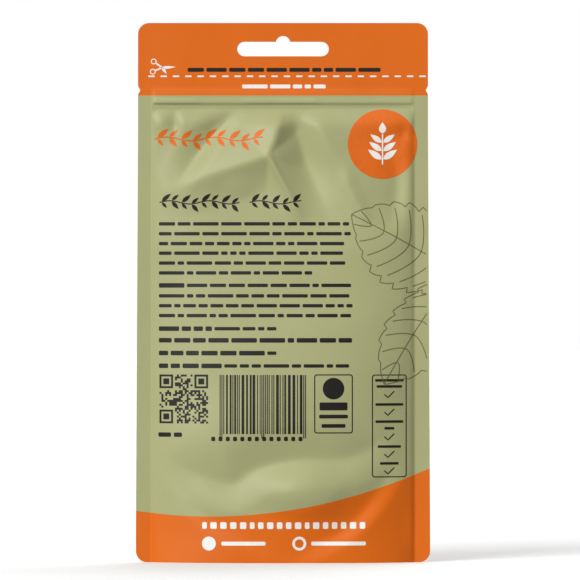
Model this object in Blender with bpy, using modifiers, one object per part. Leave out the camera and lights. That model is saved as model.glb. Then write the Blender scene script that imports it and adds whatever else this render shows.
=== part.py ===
"""A filled stand-up zip pouch, standing on its opened bottom gusset.

X runs across the pouch, Y runs through it and Z is up. The origin is on the surface
that the pouch stands on, in the middle of its foot. All lengths are in metres.
"""

import math

import bmesh
import bpy
from mathutils import Matrix

# The cut outline
HEIGHT = 0.186
TOP_WIDTH = 0.100
FOOT_WIDTH = 0.1015
FLARE_TOP_Z = 0.149
FLARE_FOOT_Z = 0.012
CORNER_RADIUS = 0.0038
ARC_STEPS = 6
CUT_TOLERANCE = 0.000001

# The tear notch in each side edge
NOTCH_Z = 0.1628
NOTCH_DEPTH = 0.0008
NOTCH_HALF_HEIGHT = 0.0014

# The hang slot: a long slot with a round hump over its middle
SLOT_HALF_LENGTH = 0.0158
SLOT_FOOT_Z = 0.1745
SLOT_TOP_Z = 0.1795
HUMP_RADIUS = 0.0025
HUMP_TOP_Z = 0.1815

# The films and the seals between them
FILM = 0.0004
CLEARANCE = 0.0003
SIDE_SEAL = 0.0045
INNER_HALF_WIDTH = TOP_WIDTH / 2 - SIDE_SEAL
HEADER_SEAL_Z = 0.1634

# The filled shape: how far each panel stands off the middle plane
BELLY_Z = 0.045
BELLY_DEPTH = 0.0125
FOOT_DEPTH_SHARE = 0.92
BELLY_FALL_POWER = 1.4
BELLY_LENS_POWER = 2.0
ZIP_LENS_POWER = 16.0
LENS_CHANGE_Z = (0.085, 0.152)

# The zip
ZIP_Z = 0.1588
ZIP_HALF_LENGTH = 0.041
ZIP_DEPTH = 0.0026
ZIP_ZONE_Z = (0.1560, 0.1610)
ZIP_FACE_Y = 0.00195
ZIP_FLANGE = 0.0004
ZIP_FLANGE_HALF_HEIGHT = 0.0020
RIB_NECK_HALF_HEIGHT = 0.00025
RIB_HEAD_HALF_HEIGHT = 0.00065
RIB_NECK_END_Y = -0.00035
RIB_HEAD_END_Y = 0.00045
RIB_TIP_HALF_HEIGHT = 0.00030
JAW_TIP_Y = -0.0010
JAW_HOOK_Y = -0.00065
JAW_FLOOR_Y = 0.00075
JAW_MOUTH_HALF_HEIGHT = 0.00055
JAW_INSIDE_HALF_HEIGHT = 0.00095
JAW_OUTSIDE_HALF_HEIGHT = 0.00145

# The bottom gusset
GUSSET_FILM = 0.0003
GUSSET_HALF_LENGTH = 0.0435
GUSSET_SEAL_MIDDLE_Z = 0.004
GUSSET_SEAL_SIDE_Z = 0.022
GUSSET_SEAL_POWER = 2.2
GUSSET_CROWN = 0.0025
GUSSET_SKIRT_SHARE = 0.45

# The fill
FILL_HALF_LENGTH = 0.042
FILL_TOP_Z = 0.098
FILL_SHOULDER_DROP = 0.012
FILL_CLEARANCE = 0.0008

# Mesh density: faces across and up each panel, and across and round the gusset
PANEL_COLUMNS = 20
PANEL_ROWS_BY_ZONE = ((0.0, 15), (0.1500, 5), (0.1560, 1), (0.1610, 3), (0.1634, 1))
PANEL_MARGIN = 0.002
ROW_TOLERANCE = 0.0001
GUSSET_COLUMNS = 18
GUSSET_ROWS = 14
FILL_CUTS = 3

# Colours, as red, green and blue in sRGB
PRINTED_GREEN = (0.66, 0.67, 0.49)
FILM_INSIDE = (0.72, 0.72, 0.70)
ZIP_PLASTIC = (0.86, 0.87, 0.86)
DRIED_LEAF = (0.36, 0.42, 0.20)


def clear_scene():
    """Remove every object that the scene starts with."""
    for leftover in list(bpy.data.objects):
        bpy.data.objects.remove(leftover, do_unlink=True)


def new_collection(name):
    """Add a collection to the scene."""
    collection = bpy.data.collections.new(name)
    bpy.context.scene.collection.children.link(collection)
    return collection


def finish_material(name, srgb, roughness):
    """Return a Principled material of one plain colour."""
    material = bpy.data.materials.new(name)
    material.use_nodes = True
    shader = material.node_tree.nodes["Principled BSDF"]
    linear = [((c + 0.055) / 1.055) ** 2.4 for c in srgb]
    shader.inputs["Base Color"].default_value = (*linear, 1.0)
    shader.inputs["Roughness"].default_value = roughness
    shader.inputs["Metallic"].default_value = 0.0
    return material


def smooth_step(low, high, value):
    """Rise smoothly from 0 at low to 1 at high."""
    share = min(max((value - low) / (high - low), 0.0), 1.0)
    return share * share * (3.0 - 2.0 * share)


def belly_depth(z):
    """Return how far a panel's inner face bulges at height z, midway across."""
    if z >= ZIP_ZONE_Z[0]:
        return ZIP_DEPTH * (1.0 - smooth_step(ZIP_ZONE_Z[1], HEADER_SEAL_Z, z))
    if z <= BELLY_Z:
        drop = (BELLY_Z - z) / BELLY_Z
        return BELLY_DEPTH * (1.0 - (1.0 - FOOT_DEPTH_SHARE) * drop**2)
    rise = (z - BELLY_Z) / (ZIP_ZONE_Z[0] - BELLY_Z)
    fall = math.cos(rise * math.pi / 2) ** BELLY_FALL_POWER
    return ZIP_DEPTH + (BELLY_DEPTH - ZIP_DEPTH) * fall


def half_gap(x, z):
    """Return the distance of a panel's inner face from the middle plane."""
    across = min(abs(x) / INNER_HALF_WIDTH, 1.0)
    change = smooth_step(*LENS_CHANGE_Z, z)
    power = BELLY_LENS_POWER + (ZIP_LENS_POWER - BELLY_LENS_POWER) * change
    return CLEARANCE / 2 + belly_depth(z) * (1.0 - across**power)


def gusset_seal_z(x):
    """Return the height up to which the gusset is sealed to each panel."""
    rise = (abs(x) / GUSSET_HALF_LENGTH) ** GUSSET_SEAL_POWER
    return GUSSET_SEAL_MIDDLE_Z + (GUSSET_SEAL_SIDE_Z - GUSSET_SEAL_MIDDLE_Z) * rise


def arc(centre, radius, start_degrees, end_degrees, steps=ARC_STEPS):
    """Return the points of an arc, both ends included."""
    points = []
    for step in range(steps + 1):
        angle = math.radians(start_degrees + (end_degrees - start_degrees) * step / steps)
        points.append((centre[0] + radius * math.cos(angle), centre[1] + radius * math.sin(angle)))
    return points


def mirrored_outline(half):
    """Close a half outline, given from foot to top at positive x, by its mirror image."""
    return half + [(-x, z) for x, z in reversed(half) if x > CUT_TOLERANCE]


def pouch_outline():
    """Return the cut edge of the films: rounded corners, slight flare and tear notches."""
    foot_x = FOOT_WIDTH / 2
    top_x = TOP_WIDTH / 2
    half = arc((foot_x - CORNER_RADIUS, CORNER_RADIUS), CORNER_RADIUS, -90, 0)
    half.append((foot_x, FLARE_FOOT_Z))
    half.append((top_x, FLARE_TOP_Z))
    half.append((top_x, NOTCH_Z - NOTCH_HALF_HEIGHT))
    half.append((top_x - NOTCH_DEPTH, NOTCH_Z))
    half.append((top_x, NOTCH_Z + NOTCH_HALF_HEIGHT))
    half += arc((top_x - CORNER_RADIUS, HEIGHT - CORNER_RADIUS), CORNER_RADIUS, 0, 90)
    return mirrored_outline(half)


def hang_slot_outline():
    """Return the edge of the hang slot."""
    end_radius = (SLOT_TOP_Z - SLOT_FOOT_Z) / 2
    end_centre = (SLOT_HALF_LENGTH - end_radius, SLOT_FOOT_Z + end_radius)
    hump_centre_z = HUMP_TOP_Z - HUMP_RADIUS
    hump_start = math.degrees(math.asin((SLOT_TOP_Z - hump_centre_z) / HUMP_RADIUS))
    half = arc(end_centre, end_radius, -90, 90)
    half += arc((0.0, hump_centre_z), HUMP_RADIUS, hump_start, 90)
    return mirrored_outline(half)


def extruded_outlines(name, outlines, thickness, placement):
    """Return a closed mesh object: flat outlines, filled and extruded both ways."""
    curve = bpy.data.curves.new(name, "CURVE")
    curve.dimensions = "2D"
    curve.fill_mode = "BOTH"
    curve.extrude = thickness / 2
    for outline in outlines:
        spline = curve.splines.new("POLY")
        spline.points.add(len(outline) - 1)
        for point, (across, up) in zip(spline.points, outline):
            point.co = (across, up, 0.0, 1.0)
        spline.use_cyclic_u = True
    drawing = bpy.data.objects.new(name + "_curve", curve)
    bpy.context.scene.collection.objects.link(drawing)
    drawing.matrix_world = placement
    bpy.context.view_layer.update()
    evaluated = drawing.evaluated_get(bpy.context.evaluated_depsgraph_get())
    mesh = bpy.data.meshes.new_from_object(evaluated)
    solid = bpy.data.objects.new(name, mesh)
    solid.matrix_world = drawing.matrix_world
    bpy.data.objects.remove(drawing, do_unlink=True)

    shape = bmesh.new()
    shape.from_mesh(mesh)
    bmesh.ops.remove_doubles(shape, verts=shape.verts, dist=CUT_TOLERANCE)
    bmesh.ops.recalc_face_normals(shape, faces=shape.faces)
    shape.to_mesh(mesh)
    shape.free()
    return solid


def mapped_grid(name, columns, rows, place):
    """Return a sheet whose grid points (-1 to 1 across and up) are moved by place."""
    shape = bmesh.new()
    bmesh.ops.create_grid(shape, x_segments=columns, y_segments=rows, size=1.0)
    for vertex in shape.verts:
        vertex.co = place(vertex.co.x, vertex.co.y)
    mesh = bpy.data.meshes.new(name)
    shape.to_mesh(mesh)
    shape.free()
    return bpy.data.objects.new(name, mesh)


def add_film_thickness(sheet, thickness, offset):
    """Turn an open sheet into a film; offset 1 adds on the outside, -1 on the inside."""
    solidify = sheet.modifiers.new("film", "SOLIDIFY")
    solidify.thickness = thickness
    solidify.offset = offset
    solidify.use_even_offset = True


def panel_row_z(share):
    """Return the height of a panel's grid row, with rows packed closer at the zip."""
    edges = [z for z, _ in PANEL_ROWS_BY_ZONE] + [HEIGHT + PANEL_MARGIN]
    edges[0] = -PANEL_MARGIN
    row = share * panel_rows()
    for (_, count), low, high in zip(PANEL_ROWS_BY_ZONE, edges, edges[1:]):
        if row <= count + ROW_TOLERANCE:
            return low + (high - low) * row / count
        row -= count
    return edges[-1]


def panel_rows():
    """Return the number of faces up a panel."""
    return sum(count for _, count in PANEL_ROWS_BY_ZONE)


def build_panel(name, side, outline_block, material):
    """Build one film panel; side is -1 for the panel at -Y and 1 for the one at +Y."""
    reach = FOOT_WIDTH / 2 + PANEL_MARGIN

    def place(across, up):
        x = -side * reach * math.sin(across * math.pi / 2)
        z = panel_row_z((up + 1.0) / 2)
        return (x, side * half_gap(x, max(z, 0.0)), z)

    panel = mapped_grid(name, PANEL_COLUMNS, panel_rows(), place)
    add_film_thickness(panel, FILM, 1.0)
    trim = panel.modifiers.new("cut to outline", "BOOLEAN")
    trim.operation = "INTERSECT"
    trim.object = outline_block
    panel.data.materials.append(material)
    return panel


def build_gusset(material):
    """Build the bottom gusset: sealed up each panel's inner face and arched between them."""

    def place(across, around):
        x = GUSSET_HALF_LENGTH * across
        seal_z = gusset_seal_z(x)
        side = math.copysign(1.0, around)
        from_middle = abs(around)
        crown_share = 1.0 - GUSSET_SKIRT_SHARE
        if from_middle > crown_share:
            up_skirt = (1.0 - from_middle) / GUSSET_SKIRT_SHARE
            z = CLEARANCE + (seal_z - CLEARANCE) * up_skirt
            return (x, side * (half_gap(x, z) - CLEARANCE), z)
        angle = from_middle / crown_share * math.pi / 2
        y = side * (half_gap(x, seal_z) - CLEARANCE) * math.sin(angle)
        return (x, y, seal_z + GUSSET_CROWN * math.cos(angle))

    gusset = mapped_grid("bottom_gusset", GUSSET_COLUMNS, GUSSET_ROWS, place)
    add_film_thickness(gusset, GUSSET_FILM, -1.0)
    gusset.data.materials.append(material)
    return gusset


def zip_section(half):
    """Mirror a zip strip's half section, given as y and height above the zip line."""
    upper = [(y, ZIP_Z + up) for y, up in half]
    lower = [(y, ZIP_Z - up) for y, up in reversed(half)]
    return upper + lower


def build_zip_strip(name, half_section, material):
    """Extrude a zip strip's section across the pouch."""
    across_pouch = Matrix(((0, 0, 1), (1, 0, 0), (0, 1, 0))).to_4x4()
    outline = zip_section(half_section)
    strip = extruded_outlines(name, [outline], 2 * ZIP_HALF_LENGTH, across_pouch)
    strip.data.materials.clear()
    strip.data.materials.append(material)
    return strip


def build_rib_strip(material):
    """Build the ribbed half of the zip, with its barbed rib pointing to +Y."""
    flange_y = -ZIP_FACE_Y + ZIP_FLANGE
    half = [
        (RIB_HEAD_END_Y, RIB_TIP_HALF_HEIGHT),
        (RIB_NECK_END_Y, RIB_HEAD_HALF_HEIGHT),
        (RIB_NECK_END_Y, RIB_NECK_HALF_HEIGHT),
        (flange_y, RIB_NECK_HALF_HEIGHT),
        (flange_y, ZIP_FLANGE_HALF_HEIGHT),
        (-ZIP_FACE_Y, ZIP_FLANGE_HALF_HEIGHT),
    ]
    return build_zip_strip("zip_rib_strip", half, material)


def build_groove_strip(material):
    """Build the grooved half of the zip, whose two jaws hook behind the rib's barb."""
    flange_y = ZIP_FACE_Y - ZIP_FLANGE
    half = [
        (JAW_FLOOR_Y, JAW_INSIDE_HALF_HEIGHT),
        (JAW_HOOK_Y, JAW_INSIDE_HALF_HEIGHT),
        (JAW_HOOK_Y, JAW_MOUTH_HALF_HEIGHT),
        (JAW_TIP_Y, JAW_MOUTH_HALF_HEIGHT),
        (JAW_TIP_Y, JAW_OUTSIDE_HALF_HEIGHT),
        (flange_y, JAW_OUTSIDE_HALF_HEIGHT),
        (flange_y, ZIP_FLANGE_HALF_HEIGHT),
        (ZIP_FACE_Y, ZIP_FLANGE_HALF_HEIGHT),
    ]
    return build_zip_strip("zip_groove_strip", half, material)


def build_fill(material):
    """Build the dried leaves as one soft heap that follows the bag's inside."""
    shape = bmesh.new()
    bmesh.ops.create_cube(shape, size=2.0)
    bmesh.ops.subdivide_edges(shape, edges=shape.edges, cuts=FILL_CUTS, use_grid_fill=True)
    for vertex in shape.verts:
        across, through, up = vertex.co
        x = FILL_HALF_LENGTH * across
        floor_z = gusset_seal_z(x) + GUSSET_CROWN + FILL_CLEARANCE
        top_z = FILL_TOP_Z - FILL_SHOULDER_DROP * across**2
        z = floor_z + (top_z - floor_z) * (up + 1.0) / 2
        vertex.co = (x, through * (half_gap(x, z) - FILL_CLEARANCE), z)
    mesh = bpy.data.meshes.new("dried_leaves")
    shape.to_mesh(mesh)
    shape.free()
    fill = bpy.data.objects.new("dried_leaves", mesh)
    rounding = fill.modifiers.new("soft form", "SUBSURF")
    rounding.levels = 1
    rounding.render_levels = 1
    mesh.materials.append(material)
    mesh.shade_smooth()
    return fill


def build_outline_block(cutters):
    """Build the cutter that both panels are trimmed to."""
    upright = Matrix.Rotation(math.pi / 2, 4, "X")
    outlines = [pouch_outline(), hang_slot_outline()]
    block = extruded_outlines("outline_block", outlines, 4 * BELLY_DEPTH, upright)
    block.display_type = "WIRE"
    block.hide_render = True
    cutters.objects.link(block)
    return block


def main():
    """Build the pouch, with its parts parented to one empty on its origin."""
    clear_scene()
    parts = new_collection("stand_up_zip_pouch")
    cutters = new_collection("cutters")
    block = build_outline_block(cutters)

    pieces = [
        build_panel("back_panel", -1, block, finish_material("back_print", PRINTED_GREEN, 0.45)),
        build_panel("front_panel", 1, block, finish_material("front_print", PRINTED_GREEN, 0.45)),
        build_gusset(finish_material("gusset_film", FILM_INSIDE, 0.4)),
        build_rib_strip(finish_material("rib_plastic", ZIP_PLASTIC, 0.35)),
        build_groove_strip(finish_material("groove_plastic", ZIP_PLASTIC, 0.35)),
        build_fill(finish_material("dried_leaf", DRIED_LEAF, 0.9)),
    ]
    pouch = bpy.data.objects.new("pouch", None)
    parts.objects.link(pouch)
    for piece in pieces:
        parts.objects.link(piece)
        piece.parent = pouch


main()
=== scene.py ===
"""Finishes a filled stand-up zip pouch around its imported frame.

The pouch stands on its opened bottom gusset. X runs across it, Y through it and Z up,
and its printed back faces -Y. Print is laid out in millimetres across and up from the
middle of the foot. The script draws the two films with their folds, the gusset, the
zip, the leaves inside and all the ink, then adds a plain stage.
"""

import math
import random

import bmesh
import bpy
import numpy as np
from bpy.props import FloatProperty, FloatVectorProperty, IntProperty, PointerProperty
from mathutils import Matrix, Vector
from mathutils.geometry import delaunay_2d_cdt


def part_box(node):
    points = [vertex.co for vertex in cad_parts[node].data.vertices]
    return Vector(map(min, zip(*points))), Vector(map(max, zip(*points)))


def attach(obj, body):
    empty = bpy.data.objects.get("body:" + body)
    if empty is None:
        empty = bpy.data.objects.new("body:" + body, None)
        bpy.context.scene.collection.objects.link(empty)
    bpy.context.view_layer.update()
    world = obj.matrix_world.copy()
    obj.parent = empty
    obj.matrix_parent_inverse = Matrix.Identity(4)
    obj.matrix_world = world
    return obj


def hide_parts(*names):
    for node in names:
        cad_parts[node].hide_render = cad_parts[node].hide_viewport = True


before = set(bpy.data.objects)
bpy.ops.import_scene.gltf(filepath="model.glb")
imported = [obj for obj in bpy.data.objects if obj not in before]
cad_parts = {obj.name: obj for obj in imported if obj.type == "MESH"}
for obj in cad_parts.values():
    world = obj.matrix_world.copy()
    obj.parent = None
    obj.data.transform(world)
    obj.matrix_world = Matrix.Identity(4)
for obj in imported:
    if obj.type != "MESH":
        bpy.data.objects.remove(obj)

bl_info = {
    "name": "Stand-up Zip Pouch",
    "version": (1, 0, 0),
    "blender": (4, 5, 0),
    "location": "3D View > Sidebar > Pouch",
    "description": "Builds the films, zip, leaves and print of a filled stand-up zip pouch",
    "category": "Add Mesh",
}

MM = 0.001
BACK, FRONT = -1, 1

# The frame's own sizes
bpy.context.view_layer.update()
PANEL_LOW, PANEL_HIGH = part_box("back_panel")
FILL_LOW, FILL_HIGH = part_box("dried_leaves")
HEIGHT = PANEL_HIGH.z
FOOT_HALF_WIDTH = PANEL_HIGH.x
TOP_HALF_WIDTH = FOOT_HALF_WIDTH - 0.75 * MM

# The cut outline, as the frame has it
FLARE_TOP_Z, FLARE_FOOT_Z = 149 * MM, 12 * MM
CORNER_RADIUS = 3.8 * MM
NOTCH_Z, NOTCH_DEPTH, NOTCH_HALF_HEIGHT = 162.8 * MM, 0.8 * MM, 1.4 * MM
SLOT_HALF_LENGTH, SLOT_FOOT_Z, SLOT_TOP_Z = 15.8 * MM, 174.5 * MM, 179.5 * MM
HUMP_RADIUS, HUMP_TOP_Z = 2.5 * MM, 181.5 * MM

# The bag between its seals
SEAL_X = TOP_HALF_WIDTH - 4.5 * MM
HEADER_SEAL_Z = 163.4 * MM
ZIP_LOW_Z, ZIP_HIGH_Z = 156.0 * MM, 161.0 * MM
BELLY_Z = 45 * MM
FOOT_DEPTH_SHARE = 0.92
BELLY_FALL_POWER = 1.4
HEADER_LEAN, HEADER_LEAN_FROM_Z = 0.6 * MM, 135 * MM
FOLD_ROOM = {BACK: 2.9 * MM, FRONT: 1.5 * MM}
AIR, AIR_RISE_Z, AIR_FALL_Z = 0.9 * MM, (100 * MM, 140 * MM), (150 * MM, 157.5 * MM)
# The bag's cross section is a lens whose power grows with height, in two steps
LENS_POWER = 2.9
LENS_POWER_STEPS = ((5.1, 85 * MM, 140 * MM), (22.0, 146 * MM, 156 * MM))
ZIP_GAP = {BACK: 0.25 * MM, FRONT: 2.15 * MM}
ZIP_SHIFT = 0.68 * MM
WELD_GAP = 0.02 * MM

# The gusset
GUSSET_HALF_LENGTH = 43.5 * MM
GUSSET_SEAL_MIDDLE_Z, GUSSET_SEAL_SIDE_Z = 4 * MM, 22 * MM
GUSSET_SEAL_POWER = 2.2
GUSSET_CROWN = 2.5 * MM

# Where the printed bands end, in millimetres: the foot band's edge is a parabola
HEADER_PRINT_Z = 161.0
BAND_LOW_Z, BAND_RISE, BAND_TURN_X = 16.0, 0.0028, -25.9

# The roundels and the height of their sprigs, in millimetres
ROUNDEL_CENTRE, ROUNDEL_RADIUS, SPRIG_HEIGHT = (34.3, 144.2), 12.0, 14.5
FRONT_ROUNDEL_CENTRE, FRONT_ROUNDEL_RADIUS, FRONT_SPRIG_HEIGHT = (0.0, 112.0), 24.0, 31.0


# ---------------------------------------------------------------- settings


class PouchFilmSettings(bpy.types.PropertyGroup):
    """Sizes and colours of the printed film."""

    thickness: FloatProperty(
        name="Film thickness", description="Thickness of the laminate",
        default=0.15 * MM, unit="LENGTH")
    spacing: FloatProperty(
        name="Mesh spacing", description="Distance between the film's mesh points",
        default=0.8 * MM, unit="LENGTH")
    fold_scale: FloatProperty(
        name="Fold height", description="Scale of all creases and folds", default=1.4)
    green: FloatVectorProperty(
        name="Body colour", description="Printed colour of the body", subtype="COLOR",
        default=(0.385, 0.393, 0.190))
    orange: FloatVectorProperty(
        name="Band colour", description="Printed colour of the header and foot band",
        subtype="COLOR", default=(0.71, 0.137, 0.002))
    roughness: FloatProperty(
        name="Roughness", description="Middle roughness of the satin film", default=0.46)


class PouchPrintSettings(bpy.types.PropertyGroup):
    """Sizes and colours of the ink."""

    lift: FloatProperty(
        name="Ink height", description="How far ink stands on the film",
        default=0.07 * MM, unit="LENGTH")
    sink: FloatProperty(
        name="Ink depth", description="How far ink reaches into the film",
        default=0.04 * MM, unit="LENGTH")
    black: FloatVectorProperty(
        name="Black ink", description="Colour of the dark print", subtype="COLOR",
        default=(0.010, 0.009, 0.007))
    white: FloatVectorProperty(
        name="White ink", description="Colour of the light print", subtype="COLOR",
        default=(0.86, 0.84, 0.80))
    orange: FloatVectorProperty(
        name="Orange ink", description="Colour of the roundel and ornament",
        subtype="COLOR", default=(0.71, 0.137, 0.006))
    olive: FloatVectorProperty(
        name="Line ink", description="Colour of the leaf drawing", subtype="COLOR",
        default=(0.135, 0.140, 0.055))
    seed: IntProperty(
        name="Layout seed", description="Seed of the placeholder word lengths", default=11)


class PouchFillSettings(bpy.types.PropertyGroup):
    """The crumbled leaves in the bag."""

    count: IntProperty(
        name="Flakes", description="Number of leaf flakes", default=1800, min=1)
    flake: FloatProperty(
        name="Flake size", description="Length of a large flake",
        default=5.5 * MM, unit="LENGTH")
    seed: IntProperty(
        name="Flake seed", description="Seed of the flakes' places", default=5)
    green: FloatVectorProperty(
        name="Leaf colour", description="Colour of the dried leaf", subtype="COLOR",
        default=(0.105, 0.140, 0.035))


class PouchStageSettings(bpy.types.PropertyGroup):
    """Camera, light and floor."""

    distance: FloatProperty(
        name="Camera distance", description="Distance of the camera from the pouch",
        default=2.6, unit="LENGTH")
    view_width: FloatProperty(
        name="View width", description="Width that the view takes in at the pouch",
        default=200.1 * MM, unit="LENGTH")
    key_strength: FloatProperty(
        name="Key light", description="Strength of the key light", default=2.75)
    top_strength: FloatProperty(
        name="Top light", description="Strength of the light from above", default=0.5)
    rear_strength: FloatProperty(
        name="Rear light", description="Strength of the light on the far side", default=1.8)
    key_softness: FloatProperty(
        name="Key softness", description="How wide the key light looks from the pouch",
        default=math.radians(34), subtype="ANGLE")
    sky: FloatProperty(
        name="Sky", description="Strength of the even light from all round", default=0.33)


# ---------------------------------------------------------------- outlines


def arc(centre, radius, start, end, steps=8):
    """Return points on an arc from start to end, in degrees, both included."""
    turn = [math.radians(start + (end - start) * step / steps) for step in range(steps + 1)]
    return [(centre[0] + radius * math.cos(a), centre[1] + radius * math.sin(a)) for a in turn]


def mirrored(half):
    """Close a half outline, listed from foot to top at positive x."""
    return half + [(-x, z) for x, z in reversed(half) if x > 1e-7]


def pouch_outline():
    """Return the cut edge of the films."""
    radius = CORNER_RADIUS
    half = arc((FOOT_HALF_WIDTH - radius, radius), radius, -90, 0)
    half += [(FOOT_HALF_WIDTH, FLARE_FOOT_Z), (TOP_HALF_WIDTH, FLARE_TOP_Z)]
    half += [
        (TOP_HALF_WIDTH, NOTCH_Z - NOTCH_HALF_HEIGHT),
        (TOP_HALF_WIDTH - NOTCH_DEPTH, NOTCH_Z),
        (TOP_HALF_WIDTH, NOTCH_Z + NOTCH_HALF_HEIGHT),
    ]
    half += arc((TOP_HALF_WIDTH - radius, HEIGHT - radius), radius, 0, 90)
    return mirrored(half)


def slot_outline():
    """Return the edge of the hang slot."""
    radius = (SLOT_TOP_Z - SLOT_FOOT_Z) / 2
    half = arc((SLOT_HALF_LENGTH - radius, SLOT_FOOT_Z + radius), radius, -90, 90)
    hump_z = HUMP_TOP_Z - HUMP_RADIUS
    start = math.degrees(math.asin((SLOT_TOP_Z - hump_z) / HUMP_RADIUS))
    half += arc((0.0, hump_z), HUMP_RADIUS, start, 90)
    return mirrored(half)


def inside(loops, x, z):
    """Say which points lie inside the loops, by the even-odd rule."""
    hit = np.zeros(np.shape(x), bool)
    for loop in loops:
        for (x1, z1), (x2, z2) in zip(loop, loop[1:] + loop[:1]):
            if z1 != z2:
                spans = (z1 > z) != (z2 > z)
                hit ^= spans & (x < x1 + (z - z1) * (x2 - x1) / (z2 - z1))
    return hit


def cut_short(loop, spacing):
    """Add points along a loop so that no edge is longer than spacing."""
    points = []
    for start, end in zip(loop, loop[1:] + loop[:1]):
        length = math.dist(start, end)
        count = max(1, math.ceil(length / spacing))
        for step in range(count):
            share = step / count
            points.append((start[0] + (end[0] - start[0]) * share,
                           start[1] + (end[1] - start[1]) * share))
    return points


def fill_loops(loops, spacing, columns=None, rows=None):
    """Triangulate the area inside loops and return its points and triangles.

    Without columns and rows, inner points stand on an even grid of the given spacing.
    """
    edge_points = np.array([p for loop in loops for p in loop])
    low, high = edge_points.min(0), edge_points.max(0)
    if columns is None:
        columns = np.arange(low[0] + spacing / 2, high[0], spacing)
        rows = np.arange(low[1] + spacing / 2, high[1], spacing)
    grid_x, grid_z = [g.ravel() for g in np.meshgrid(columns, rows)]
    keep = np.ones(len(grid_x), bool)
    margin = spacing * 0.3
    for dx, dz in ((margin, 0), (-margin, 0), (0, margin), (0, -margin)):
        keep &= inside(loops, grid_x + dx, grid_z + dz)

    points, edges = [], []
    for loop in loops:
        first = len(points)
        points += cut_short(loop, spacing)
        count = len(points) - first
        edges += [(first + i, first + (i + 1) % count) for i in range(count)]
    points += list(zip(grid_x[keep], grid_z[keep]))
    made = delaunay_2d_cdt([Vector(p) for p in points], edges, [], 0, 1e-9, False)
    flat = np.array([(p.x, p.y) for p in made[0]])
    triangles = np.array(made[2])
    middle = flat[triangles].mean(1)
    triangles = triangles[inside(loops, middle[:, 0], middle[:, 1])]
    return flat, turned_left(flat, triangles)


def turned_left(flat, triangles):
    """Turn every triangle so that it runs anticlockwise."""
    a, b, c = (flat[triangles[:, i]] for i in range(3))
    area = (b[:, 0] - a[:, 0]) * (c[:, 1] - a[:, 1]) - (b[:, 1] - a[:, 1]) * (c[:, 0] - a[:, 0])
    triangles = triangles[np.abs(area) > 1e-13]
    area = area[np.abs(area) > 1e-13]
    triangles[area < 0] = triangles[area < 0][:, ::-1]
    return triangles


# ---------------------------------------------------------------- folds


def gusset_seal(x):
    """Return the height of the gusset's seal line at a place across the pouch."""
    share = (np.abs(x) / GUSSET_HALF_LENGTH) ** GUSSET_SEAL_POWER
    return GUSSET_SEAL_MIDDLE_Z + (GUSSET_SEAL_SIDE_Z - GUSSET_SEAL_MIDDLE_Z) * share


def smooth_step(low, high, value):
    """Rise smoothly from 0 at low to 1 at high."""
    share = np.clip((value - low) / (high - low), 0.0, 1.0)
    return share * share * (3.0 - 2.0 * share)


def smooth_path(points, step):
    """Return points about a step apart on a smooth curve through the given ones."""
    points = [np.array(p, float) for p in points]
    ends = [2 * points[0] - points[1]] + points + [2 * points[-1] - points[-2]]
    curve = []
    for p0, p1, p2, p3 in zip(ends, ends[1:], ends[2:], ends[3:]):
        count = max(1, int(np.linalg.norm(p2[:2] - p1[:2]) / step))
        for t in np.arange(count) / count:
            curve.append(0.5 * (2 * p1 + (p2 - p0) * t + (2 * p0 - 5 * p1 + 4 * p2 - p3) * t**2
                                + (3 * p1 - p0 - 3 * p2 + p3) * t**3))
    curve.append(points[-1])
    return np.array(curve)


FOLD_POWER = 1.5


def fold_heights(x, z, path, left, right, crest=0.8):
    """Return the height that one fold adds at each point, all in millimetres.

    path lists points across, up and height; left and right are how wide its two sides
    are, seen along the path, and crest is how rounded its ridge is.
    """
    curve = smooth_path(path, 1.0)
    reach = max(left, right)
    near = ((x > curve[:, 0].min() - reach) & (x < curve[:, 0].max() + reach)
            & (z > curve[:, 1].min() - reach) & (z < curve[:, 1].max() + reach))
    px, pz = x[near], z[near]
    best, best_height, best_side = np.full(px.shape, np.inf), np.zeros(px.shape), np.zeros(px.shape)
    for start, end in zip(curve, curve[1:]):
        run = end[:2] - start[:2]
        share = ((px - start[0]) * run[0] + (pz - start[1]) * run[1]) / (run @ run)
        share = np.clip(share, 0.0, 1.0)
        dx, dz = px - start[0] - share * run[0], pz - start[1] - share * run[1]
        distance = np.hypot(dx, dz)
        closer = distance < best
        best = np.where(closer, distance, best)
        best_height = np.where(closer, start[2] + (end[2] - start[2]) * share, best_height)
        turn = (run[0] * dz - run[1] * dx) / (np.hypot(*run) * np.maximum(distance, 1e-6))
        best_side = np.where(closer, turn, best_side)
    width = right + (left - right) * (1.0 + np.clip(best_side, -1.0, 1.0)) / 2
    rounded = (np.sqrt(best**2 + crest**2) - crest) / width
    added = np.zeros(x.shape)
    added[near] = best_height * np.clip(1.0 - rounded, 0.0, 1.0) ** FOLD_POWER
    return added


def lobe_heights(x, z, centre, radii, height, turn=0.0):
    """Return the height that one soft round swelling adds, all in millimetres."""
    cos, sin = math.cos(math.radians(turn)), math.sin(math.radians(turn))
    dx, dz = x - centre[0], z - centre[1]
    across, along = (dx * cos + dz * sin) / radii[0], (-dx * sin + dz * cos) / radii[1]
    return height * np.clip(1.0 - across**2 - along**2, 0.0, 1.0) ** 2


def ripple_heights(x, z, seed, height, length):
    """Return soft random waves, in millimetres, from a few crossing sine waves."""
    chance = random.Random(seed)
    total = np.zeros(x.shape)
    for _ in range(9):
        angle = chance.uniform(0, math.tau)
        pitch = length * chance.uniform(0.6, 1.6)
        phase = chance.uniform(0, math.tau)
        along = x * math.cos(angle) + z * math.sin(angle)
        total += np.sin(along * math.tau / pitch + phase)
    return total * height / 3.0


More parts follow.
